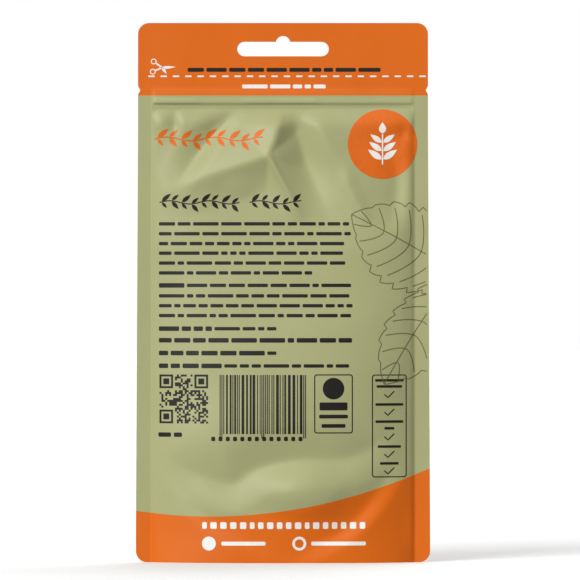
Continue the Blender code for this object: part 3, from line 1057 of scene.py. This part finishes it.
class POUCH_OT_add_gusset(bpy.types.Operator):
    """Add the bottom gusset, welded inside both panels and arched between them"""

    bl_idname = "pouch.add_gusset"
    bl_label = "Add bottom gusset"
    bl_options = {"REGISTER", "UNDO"}

    columns, skirt_rows, crown_rows = 120, 22, 26
    foot_z, skirt_gap = 0.3 * MM, 0.03 * MM

    def execute(self, context):
        scene = context.scene
        shapes = {side: film_shape(side) for side in (BACK, FRONT)}
        xs = np.linspace(-GUSSET_HALF_LENGTH, GUSSET_HALF_LENGTH, self.columns + 1)
        seal_z = gusset_seal(xs)
        rows = []
        for share in np.linspace(0, 1, self.skirt_rows, endpoint=False):
            zs = self.foot_z + (seal_z - self.foot_z) * share
            rows.append(self.skirt_row(shapes[BACK], xs, zs))
        back, front = (self.skirt_row(shapes[side], xs, seal_z) for side in (BACK, FRONT))
        for share in np.linspace(0, 1, self.crown_rows + 1):
            y = back[:, 1] + (front[:, 1] - back[:, 1]) * (1 - math.cos(math.pi * share)) / 2
            z = seal_z + GUSSET_CROWN * math.sin(math.pi * share)
            rows.append(np.stack([xs, y, z], axis=1))
        for share in np.linspace(1, 0, self.skirt_rows + 1)[1:]:
            zs = self.foot_z + (seal_z - self.foot_z) * share
            rows.append(self.skirt_row(shapes[FRONT], xs, zs))
        points = np.concatenate(rows)
        width = len(xs)
        faces = [(j * width + i, j * width + i + 1, (j + 1) * width + i + 1, (j + 1) * width + i)
                 for j in range(len(rows) - 1) for i in range(width - 1)]
        mesh = bpy.data.meshes.new("bottom_gusset_film")
        mesh.from_pydata(points.tolist(), [], faces)
        piece = link("bottom_gusset_film", mesh)
        film = piece.modifiers.new("film", "SOLIDIFY")
        film.thickness = scene.pouch_film.thickness
        film.offset = -1.0
        mesh.shade_smooth()
        material = ink_material("gusset_film", scene.pouch_film.orange)
        finish_piece(piece, material, ["bottom_gusset"])
        return {"FINISHED"}

    def skirt_row(self, shape, xs, zs):
        """Return a row of the gusset's film that lies just inside a panel."""
        y = shape.inner(xs, zs) - shape.side * self.skirt_gap
        return np.stack([xs, y, zs], axis=1)


class POUCH_OT_add_zip(bpy.types.Operator):
    """Add the two press-to-close zip strips"""

    bl_idname = "pouch.add_zip"
    bl_label = "Add zip strips"
    bl_options = {"REGISTER", "UNDO"}

    half_length = 41.0
    # upper halves of the two sections: across the bag and up, in millimetres
    rib = ((0.42, 0.10), (0.28, 0.40), (0.02, 0.52), (0.02, 0.24), (-0.54, 0.24), (-0.54, 1.15),
           (-0.60, 2.0), (-0.67, 2.1), (-0.72, 2.0))
    groove = ((0.48, 0.58), (-0.02, 0.58), (-0.12, 0.30), (-0.42, 0.42), (-0.42, 0.98), (0.56, 1.05),
              (0.62, 2.0), (0.67, 2.1), (0.72, 2.0))

    def execute(self, context):
        material = zip_material("zip_polyethylene")
        low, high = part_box("zip_rib_strip")
        middle = (low.z + high.z) / 2
        for name, section in (("zip_rib_strip", self.rib), ("zip_groove_strip", self.groove)):
            half = [(ZIP_SHIFT + y * MM, middle + up * MM) for y, up in section]
            loop = half + [(y, 2 * middle - z) for y, z in reversed(half)]
            self.extrude(name + "_drawn", loop, name, material)
        return {"FINISHED"}

    def extrude(self, name, loop, node, material):
        """Draw a section along the zip's line, following the back panel's sway."""
        shape = bmesh.new()
        reach = self.half_length * MM
        stations = np.linspace(-reach, reach, 45)
        rings = []
        for x in stations:
            sway = film_shape(BACK).read(film_shape(BACK).middle, x, loop[0][1]) + HEADER_LEAN
            rings.append([shape.verts.new((x, y + float(sway), z)) for y, z in loop])
        for one, two in zip(rings, rings[1:]):
            for i in range(len(loop)):
                j = (i + 1) % len(loop)
                shape.faces.new((one[i], one[j], two[j], two[i]))
        shape.faces.new(rings[0])
        shape.faces.new(list(reversed(rings[-1])))
        bmesh.ops.recalc_face_normals(shape, faces=shape.faces)
        mesh = bpy.data.meshes.new(name)
        shape.to_mesh(mesh)
        shape.free()
        mesh.shade_smooth()
        mesh.set_sharp_from_angle(angle=math.radians(35))
        finish_piece(link(name, mesh), material, [node])


class POUCH_OT_add_leaves(bpy.types.Operator):
    """Add the crumbled dried leaves inside the bag"""

    bl_idname = "pouch.add_leaves"
    bl_label = "Add dried leaves"
    bl_options = {"REGISTER", "UNDO"}

    # the fill sinks towards the sides; a flake of the smallest size is this share of a whole
    side_slump, smallest = 0.12, 0.35
    # a flake's reach round its middle, as a share of its length, and the room left over
    flake_reach, spare_room = 0.55, 0.5 * MM

    def execute(self, context):
        scene = context.scene
        fill = scene.pouch_fill
        material = leaf_material("dried_leaf", fill.green)
        chance = random.Random(fill.seed)
        shapes = {side: film_shape(side) for side in (BACK, FRONT)}
        places, sizes = [], []
        low, high = FILL_LOW, FILL_HIGH
        while len(places) < fill.count:
            x = chance.uniform(low.x, high.x)
            z = chance.uniform(low.z, high.z) * (1.0 - self.side_slump * (x / high.x) ** 2)
            size = fill.flake * chance.uniform(self.smallest, 1.0)
            back, front = (float(shapes[s].inner(x, z)) for s in (BACK, FRONT))
            room = size * self.flake_reach
            too_low = z < gusset_seal(x) + GUSSET_CROWN + room
            if too_low or front - back < 2 * room + self.spare_room:
                continue
            places.append((x, chance.uniform(back + room, front - room), z))
            sizes.append(size)
        mesh = bpy.data.meshes.new("flake_points")
        mesh.from_pydata(places, [], [])
        layer = mesh.attributes.new("flake_size", "FLOAT", "POINT")
        layer.data.foreach_set("value", sizes)
        flake = self.flake()
        made = run_tree(link("flake_points", mesh), self.tree(), flake=flake, seed=fill.seed,
                        leaf=material)
        bpy.data.objects.remove(flake, do_unlink=True)
        made.name = "leaf_flakes"
        finish_piece(link("leaf_flakes", made), material, ["dried_leaves"])
        return {"FINISHED"}

    @staticmethod
    def flake():
        """Return one thin, cupped, closed flake of unit length."""
        shape = bmesh.new()
        bmesh.ops.create_icosphere(shape, subdivisions=1, radius=0.5)
        for vertex in shape.verts:
            x, y, z = vertex.co
            vertex.co = (x, y * 0.62, z * 0.07 + 0.5 * x * x + 0.35 * y * x)
        mesh = bpy.data.meshes.new("flake")
        shape.to_mesh(mesh)
        shape.free()
        return link("flake", mesh)

    @staticmethod
    def tree():
        """Return the node tree that puts a turned flake on each point."""
        tree = bpy.data.node_groups.new("Leaf flakes", "GeometryNodeTree")
        face = tree.interface
        face.new_socket("Points", in_out="INPUT", socket_type="NodeSocketGeometry")
        face.new_socket("Flake", in_out="INPUT", socket_type="NodeSocketObject")
        face.new_socket("Seed", in_out="INPUT", socket_type="NodeSocketInt")
        face.new_socket("Leaf", in_out="INPUT", socket_type="NodeSocketMaterial")
        face.new_socket("Flakes", in_out="OUTPUT", socket_type="NodeSocketGeometry")
        add = tree.nodes.new
        start, end = add("NodeGroupInput"), add("NodeGroupOutput")
        points, info = add("GeometryNodeMeshToPoints"), add("GeometryNodeObjectInfo")
        turn = add("FunctionNodeRandomValue")
        turn.data_type = "FLOAT_VECTOR"
        turn.inputs["Min"].default_value = (-math.pi,) * 3
        turn.inputs["Max"].default_value = (math.pi,) * 3
        size = add("GeometryNodeInputNamedAttribute")
        size.data_type = "FLOAT"
        size.inputs["Name"].default_value = "flake_size"
        place, apart = add("GeometryNodeInstanceOnPoints"), add("GeometryNodeRealizeInstances")
        leaf = add("GeometryNodeSetMaterial")
        join = tree.links.new
        join(start.outputs["Points"], points.inputs["Mesh"])
        join(start.outputs["Flake"], info.inputs["Object"])
        join(start.outputs["Seed"], turn.inputs["Seed"])
        join(points.outputs[0], place.inputs["Points"])
        join(info.outputs["Geometry"], place.inputs["Instance"])
        join(turn.outputs["Value"], place.inputs["Rotation"])
        join(size.outputs["Attribute"], place.inputs["Scale"])
        join(place.outputs[0], apart.inputs[0])
        join(apart.outputs[0], leaf.inputs["Geometry"])
        join(start.outputs["Leaf"], leaf.inputs["Material"])
        join(leaf.outputs[0], end.inputs["Flakes"])
        return tree


class POUCH_OT_print_header(bpy.types.Operator):
    """Print the cut line, its scissors and the placeholder lines on both headers"""

    bl_idname = "pouch.print_header"
    bl_label = "Print header"
    bl_options = {"REGISTER", "UNDO"}

    cut_z = 167.6

    def execute(self, context):
        scene = context.scene
        chance = random.Random(scene.pouch_print.seed)
        for side, label in ((BACK, "back"), (FRONT, "front")):
            dashes = [(-45.4 + 4.25 * i, self.cut_z, 2.2, 0.55) for i in range(23)]
            bar_print(label + "_cut_line", side, "white", dashes, 0.1)
            lay(self.scissors(), label + "_scissors", side, "white")
            line = words(chance, -32.9, 33.6, 169.85, 1.35, gap=0.85)
            bar_print(label + "_header_dark_line", side, "black", line, 0.4)
            line = words(chance, -14.1, 14.7, 164.1, 1.35, gap=0.85)
            bar_print(label + "_header_light_line", side, "white", line, 0.4)
        return {"FINISHED"}

    @staticmethod
    def scissors():
        """Return a plain pair of scissors, cutting towards the middle of the header."""
        sheet = InkSheet()
        pivot = (-41.7, 170.6)
        for ring in ((-44.6, 172.7), (-44.9, 169.2)):
            sheet.disc(ring, 1.0, 24, 0.68)
        for ring_end, tip in (((-43.8, 172.1), (-40.1, 168.4)), ((-44.0, 169.6), (-36.9, 170.8))):
            sheet.line([ring_end, pivot], 0.55)
            sheet.area(leaf_loop(pivot, tip, 1.0, 0.3))
        return sheet


class POUCH_OT_print_label(bpy.types.Operator):
    """Print the ornaments, roundel, placeholder text and leaf drawing on the back"""

    bl_idname = "pouch.print_label"
    bl_label = "Print label"
    bl_options = {"REGISTER", "UNDO"}

    # placeholder lines: end across, height, and where bold print ends
    lines = (
        (22.7, 116.7, None), (23.3, 113.3, None), (21.0, 109.9, None), (20.6, 106.6, None),
        (21.4, 103.2, None), (10.0, 99.8, None),
        (23.4, 95.5, -35.0), (22.8, 91.9, None), (23.9, 88.5, None), (23.4, 85.1, None),
        (-2.3, 80.6, -25.0), (23.7, 76.6, 30.0), (-2.3, 72.2, -15.0), (22.7, 67.8, -26.0),
    )

    def execute(self, context):
        scene = context.scene
        chance = random.Random(scene.pouch_print.seed + 1)
        ornament = InkSheet()
        garland(ornament, (-44.3, 146.0), (-7.0, 146.0), 6.6, 9, 0.2)
        lay(ornament, "orange_ornament", BACK, "orange")
        title = InkSheet()
        garland(title, (-42.6, 124.1), (-15.0, 124.1), 5.6, 8, 0.15)
        garland(title, (-11.6, 124.1), (6.2, 124.1), 5.6, 5)
        lay(title, "title_ornament", BACK, "black")
        bars = []
        for end, z, bold_until in self.lines:
            bars += words(chance, -42.8, end, z, 1.15, bold_until, 1.55, gap=0.9)
        bar_print("text_lines", BACK, "black", bars, 0.35)
        self.roundel()
        self.leaf_drawing()
        return {"FINISHED"}

    @staticmethod
    def roundel():
        """Print the orange roundel with a plain sprig left light in it."""
        disc = InkSheet()
        disc.disc(ROUNDEL_CENTRE, ROUNDEL_RADIUS, 72)
        lay(disc, "roundel", BACK, "orange")
        light = InkSheet()
        foot = (ROUNDEL_CENTRE[0], ROUNDEL_CENTRE[1] - 7.0)
        sprig(light, foot, SPRIG_HEIGHT, 3, 0.45)
        lay(light, "roundel_sprig", BACK, "white", over_ink=True)

    @staticmethod
    def leaf_drawing():
        """Draw two large toothed leaves in thin lines, running off the right edge."""
        sheet = InkSheet()
        for tip, root, width, teeth in (((23.6, 120.0), (70.0, 93.0), 28.0, 11),
                                        ((34.8, 61.5), (62.0, 103.0), 22.0, 9)):
            for path in toothed_leaf(tip, root, width, teeth):
                for run in clipped(spaced(path, 0.6), 49.6):
                    sheet.line(run, 0.3)
        lay(sheet, "leaf_drawing", BACK, "olive")


def leaf_profile(share):
    """Return a leaf's half width, as a share of its widest, from tip to root."""
    return math.sin(math.pi * min(share, 1.0) ** 0.8) ** 1.1


def toothed_leaf(tip, root, width, teeth):
    """Return the lines of a leaf: two toothed edges, a midrib and curved side veins."""
    tip, root = np.array(tip, float), np.array(root, float)
    along = root - tip
    across = np.array((-along[1], along[0])) / np.hypot(*along)
    length = np.hypot(*along)
    lines = []
    for side in (1, -1):
        edge = [tip]
        for tooth in range(teeth):
            for part, cut in ((0.12, 1.07), (0.45, 1.03), (0.75, 0.98), (1.0, 0.92)):
                share = (tooth + part) / teeth
                half = width / 2 * leaf_profile(share)
                wander = 1.0 + 0.035 * math.sin(7.0 * share + side)
                edge.append(tip + along * share + across * side * half * cut * wander)
        lines.append(edge)
        for vein in range(1, teeth - 2):
            start = (vein + 0.6) / teeth
            end = start - 0.10 - 0.03 * vein / teeth
            half = width / 2 * leaf_profile(end) * 0.86
            path = []
            for step in range(9):
                t = step / 8
                share = start + (end - start) * t**1.6
                path.append(tip + along * share + across * side * half * t)
            lines.append(path)
    bend = [tip + along * t + across * 0.02 * length * math.sin(math.pi * t)
            for t in np.linspace(0, 1, 25)]
    lines.append(bend)
    return lines


def spaced(path, step):
    """Return a path with extra points so that none are further apart than step."""
    points = []
    for start, end in zip(path, path[1:]):
        count = max(1, math.ceil(math.dist(start, end) / step))
        points += [start + (end - start) * i / count for i in range(count)]
    return points + [path[-1]]


def clipped(path, edge):
    """Return the runs of a path that lie left of an edge."""
    runs, run = [], []
    for point in path:
        if point[0] < edge:
            run.append(point)
        elif run:
            runs.append(run)
            run = []
    return [r for r in runs + [run] if len(r) > 1]


class POUCH_OT_print_codes(bpy.types.Operator):
    """Print the square pattern, the stripes and the two boxes of plain marks"""

    bl_idname = "pouch.print_codes"
    bl_label = "Print code blocks"
    bl_options = {"REGISTER", "UNDO"}

    def execute(self, context):
        scene = context.scene
        chance = random.Random(scene.pouch_print.seed + 2)
        bar_print("square_pattern", BACK, "black", self.square_pattern(chance), 0.0)
        bar_print("stripes", BACK, "black", self.stripes(chance), 0.0)
        marks = words(chance, -43.0, -34.8, 44.1, 1.5)
        marks += [(-24.0 + 2.5 * i, 42.7, 1.35, 1.5) for i in range(13)]
        bar_print("code_marks", BACK, "black", marks, 0.4)
        self.small_box()
        self.checks_box(chance)
        return {"FINISHED"}

    @staticmethod
    def square_pattern(chance):
        """Return bars for a square of random modules with three framed corners."""
        count, size, left, top = 25, 0.672, -42.6, 64.8
        dark = [[chance.random() < 0.5 for _ in range(count)] for _ in range(count)]
        for row0, col0 in ((0, 0), (0, count - 7), (count - 7, 0)):
            for row in range(-1, 8):
                for col in range(-1, 8):
                    if 0 <= row0 + row < count and 0 <= col0 + col < count:
                        ring = max(abs(row - 3), abs(col - 3))
                        dark[row0 + row][col0 + col] = ring in (0, 1, 3)
        bars = []
        for row in range(count):
            col = 0
            while col < count:
                run = 0
                while col + run < count and dark[row][col + run]:
                    run += 1
                if run:
                    x = left + (col + run / 2) * size
                    bars.append((x, top - (row + 0.5) * size, run * size, size * 0.995))
                col += max(run, 1)
        return bars

    @staticmethod
    def stripes(chance):
        """Return upright bars of random widths, with longer pairs at both ends and the middle."""
        module, left, right, top, foot = 0.314, -21.8, 7.9, 64.7, 44.4
        guards = (left, (left + right) / 2 - 1.5 * module, right - 3 * module)
        bars = [(start + module * (0.5 + 2 * i), (top + foot - 1.5) / 2, module, top - foot + 1.5)
                for start in guards for i in range(2)]
        for start, end in ((guards[0] + 4 * module, guards[1] - module),
                           (guards[1] + 4 * module, guards[2] - module)):
            x = start
            while x < end:
                width = min(chance.choice((1, 1, 2, 3)) * module, end - x)
                bars.append((x + width / 2, (top + foot) / 2, width * 0.97, top - foot))
                x += width + chance.choice((1, 1, 2, 2)) * module
        return bars

    @staticmethod
    def small_box():
        """Print the small box: a plain disc over bars."""
        sheet = InkSheet()
        framed_box(sheet, (10.7, 44.6), (24.0, 64.9), 0.36)
        sheet.disc((17.35, 60.0), 3.7, 36)
        bars = [(17.35, 53.9, 9.6, 2.7), (17.35, 50.4, 9.9, 1.25), (17.35, 47.2, 8.2, 1.25)]
        stamp_bars(sheet, bars, ink("black"), 0.35)
        lay(sheet, "small_box", BACK, "black")

    @staticmethod
    def checks_box(chance):
        """Print the tall box of check marks, each under a short placeholder line."""
        sheet = InkSheet()
        framed_box(sheet, (30.6, 29.4), (42.6, 64.8), 0.34)
        bars = [(36.6, z, width, 0.85) for z, width in (
            (62.8, 9.8), (60.7, 8.8), (54.5, 9.6), (48.6, 9.6), (46.3, 3.4), (40.0, 8.0), (34.2, 6.4))]
        stamp_bars(sheet, bars, ink("black"), 0.25)
        for z in (57.9, 51.8, 43.3, 37.3, 31.6):
            sheet.line([(34.9, z + 0.1), (36.1, z - 1.05), (38.3, z + 1.15)], 0.38)
        lay(sheet, "check_marks", BACK, "black")


class POUCH_OT_print_foot(bpy.types.Operator):
    """Print the light placeholder line and the two plain marks on both foot bands"""

    bl_idname = "pouch.print_foot"
    bl_label = "Print foot band"
    bl_options = {"REGISTER", "UNDO"}

    def execute(self, context):
        scene = context.scene
        chance = random.Random(scene.pouch_print.seed + 3)
        for side, label in ((BACK, "back"), (FRONT, "front")):
            bars, x = [], -27.8
            while x < 28.0:
                width = chance.choice((1.6, 1.9, 2.2))
                bars.append((x + width / 2, 12.9, width, 2.3))
                x += width + 1.2
            bars += [(-13.6, 6.7, 15.2, 1.35), (19.1, 6.7, 18.8, 1.35)]
            sheet = InkSheet()
            stamp_bars(sheet, bars, ink("white"), 0.45)
            sheet.disc((-25.5, 6.7), 2.4, 36)
            sheet.disc((5.6, 6.7), 2.4, 36, 1.5)
            lay(sheet, label + "_foot_marks", side, "white")
        return {"FINISHED"}


class POUCH_OT_print_front(bpy.types.Operator):
    """Print the plain design of the far side: a large roundel, ornament and short lines"""

    bl_idname = "pouch.print_front"
    bl_label = "Print front"
    bl_options = {"REGISTER", "UNDO"}

    def execute(self, context):
        scene = context.scene
        chance = random.Random(scene.pouch_print.seed + 4)
        disc = InkSheet()
        disc.disc(FRONT_ROUNDEL_CENTRE, FRONT_ROUNDEL_RADIUS, 96)
        lay(disc, "front_roundel", FRONT, "orange")
        light = InkSheet()
        foot = (FRONT_ROUNDEL_CENTRE[0], FRONT_ROUNDEL_CENTRE[1] - 15.0)
        sprig(light, foot, FRONT_SPRIG_HEIGHT, 4, 0.8)
        lay(light, "front_sprig", FRONT, "white", over_ink=True)
        title = InkSheet()
        garland(title, (-30.0, 72.0), (28.0, 72.0), 9.0, 10)
        lay(title, "front_ornament", FRONT, "black")
        bars = words(chance, -24.0, 24.0, 60.0, 1.8) + words(chance, -17.0, 17.0, 54.5, 1.4)
        bar_print("front_text_lines", FRONT, "black", bars, 0.4)
        return {"FINISHED"}


class POUCH_OT_add_stage(bpy.types.Operator):
    """Add the floor, the soft light and the camera"""

    bl_idname = "pouch.add_stage"
    bl_label = "Add stage"
    bl_options = {"REGISTER", "UNDO"}

    # headings that the suns shine along: the key light falls from the upper left
    key_heading, top_heading, rear_heading = (0.50, 0.72, -0.44), (0.0, 0.1, -1.0), (-0.35, -0.80, -0.50)
    camera_right, camera_above_middle = 2.4 * MM, 0.9 * MM

    def execute(self, context):
        scene = context.scene
        stage = scene.pouch_stage
        self.floor()
        self.sun("key_light", self.key_heading, stage.key_strength, stage.key_softness)
        self.sun("top_light", self.top_heading, stage.top_strength, stage.key_softness * 2)
        self.sun("rear_light", self.rear_heading, stage.rear_strength, stage.key_softness * 2)
        self.sky(scene, stage.sky)
        self.camera(scene, stage)
        scene.view_settings.view_transform = "Standard"
        return {"FINISHED"}

    @staticmethod
    def floor():
        """Add a round floor that bounces no light on the pouch."""
        bpy.ops.mesh.primitive_circle_add(vertices=96, radius=9.0, fill_type="NGON")
        floor = bpy.context.object
        floor.name = "floor"
        floor.data.materials.append(floor_material("pale_floor"))
        floor.visible_diffuse = False
        floor.visible_glossy = False

    @staticmethod
    def sun(name, heading, strength, softness):
        """Add a soft sun that shines along a heading."""
        data = bpy.data.lights.new(name, "SUN")
        data.angle = softness
        data.energy = strength
        lamp = bpy.data.objects.new(name, data)
        lamp.rotation_euler = Vector(heading).to_track_quat("-Z", "Y").to_euler()
        bpy.context.scene.collection.objects.link(lamp)

    @staticmethod
    def sky(scene, strength):
        """Light the pouch evenly all round; the camera sees the backdrop as plain white."""
        world = bpy.data.worlds.new("studio")
        world.use_nodes = True
        tree = world.node_tree
        even = tree.nodes["Background"]
        even.inputs["Color"].default_value = (1.0, 1.0, 1.0, 1.0)
        even.inputs["Strength"].default_value = strength
        seen = tree.nodes.new("ShaderNodeBackground")
        seen.inputs["Color"].default_value = (1.0, 1.0, 1.0, 1.0)
        rays, mix = tree.nodes.new("ShaderNodeLightPath"), tree.nodes.new("ShaderNodeMixShader")
        tree.links.new(rays.outputs["Is Camera Ray"], mix.inputs[0])
        tree.links.new(even.outputs[0], mix.inputs[1])
        tree.links.new(seen.outputs[0], mix.inputs[2])
        tree.links.new(mix.outputs[0], tree.nodes["World Output"].inputs["Surface"])
        scene.world = world

    def camera(self, scene, stage):
        """Add a long lens level with the middle of the pouch."""
        data = bpy.data.cameras.new("camera")
        data.sensor_width = 36.0
        data.lens = data.sensor_width * stage.distance / stage.view_width
        data.clip_end = 100.0
        camera = bpy.data.objects.new("camera", data)
        level = HEIGHT / 2 + self.camera_above_middle
        camera.location = (self.camera_right, -stage.distance, level)
        camera.rotation_euler = (math.pi / 2, 0.0, 0.0)
        scene.collection.objects.link(camera)
        scene.camera = camera


# ---------------------------------------------------------------- panel and registration


OPERATORS = (
    POUCH_OT_add_stage,
    POUCH_OT_add_panels,
    POUCH_OT_add_gusset,
    POUCH_OT_add_zip,
    POUCH_OT_add_leaves,
    POUCH_OT_print_header,
    POUCH_OT_print_label,
    POUCH_OT_print_codes,
    POUCH_OT_print_foot,
    POUCH_OT_print_front,
)


class POUCH_PT_sidebar(bpy.types.Panel):
    """The pouch's tools in the sidebar."""

    bl_idname = "POUCH_PT_sidebar"
    bl_label = "Pouch"
    bl_space_type = "VIEW_3D"
    bl_region_type = "UI"
    bl_category = "Pouch"

    def draw(self, context):
        for group in (context.scene.pouch_film, context.scene.pouch_print,
                      context.scene.pouch_fill, context.scene.pouch_stage):
            box = self.layout.box()
            for name in group.__annotations__:
                box.prop(group, name)
        for operator in OPERATORS:
            self.layout.operator(operator.bl_idname)


SETTINGS = {
    "pouch_film": PouchFilmSettings,
    "pouch_print": PouchPrintSettings,
    "pouch_fill": PouchFillSettings,
    "pouch_stage": PouchStageSettings,
}
CLASSES = (*SETTINGS.values(), *OPERATORS, POUCH_PT_sidebar)


def register():
    """Register the classes and hang the settings on the scene."""
    for cls in CLASSES:
        bpy.utils.register_class(cls)
    for name, group in SETTINGS.items():
        setattr(bpy.types.Scene, name, PointerProperty(type=group))


def unregister():
    """Take the settings and classes away again."""
    for name in SETTINGS:
        delattr(bpy.types.Scene, name)
    for cls in reversed(CLASSES):
        bpy.utils.unregister_class(cls)


def main():
    """Register the classes and build everything by running each operator in turn."""
    register()
    for operator in OPERATORS:
        area, name = operator.bl_idname.split(".")
        getattr(getattr(bpy.ops, area), name)()


if __name__ == "__main__":
    main()
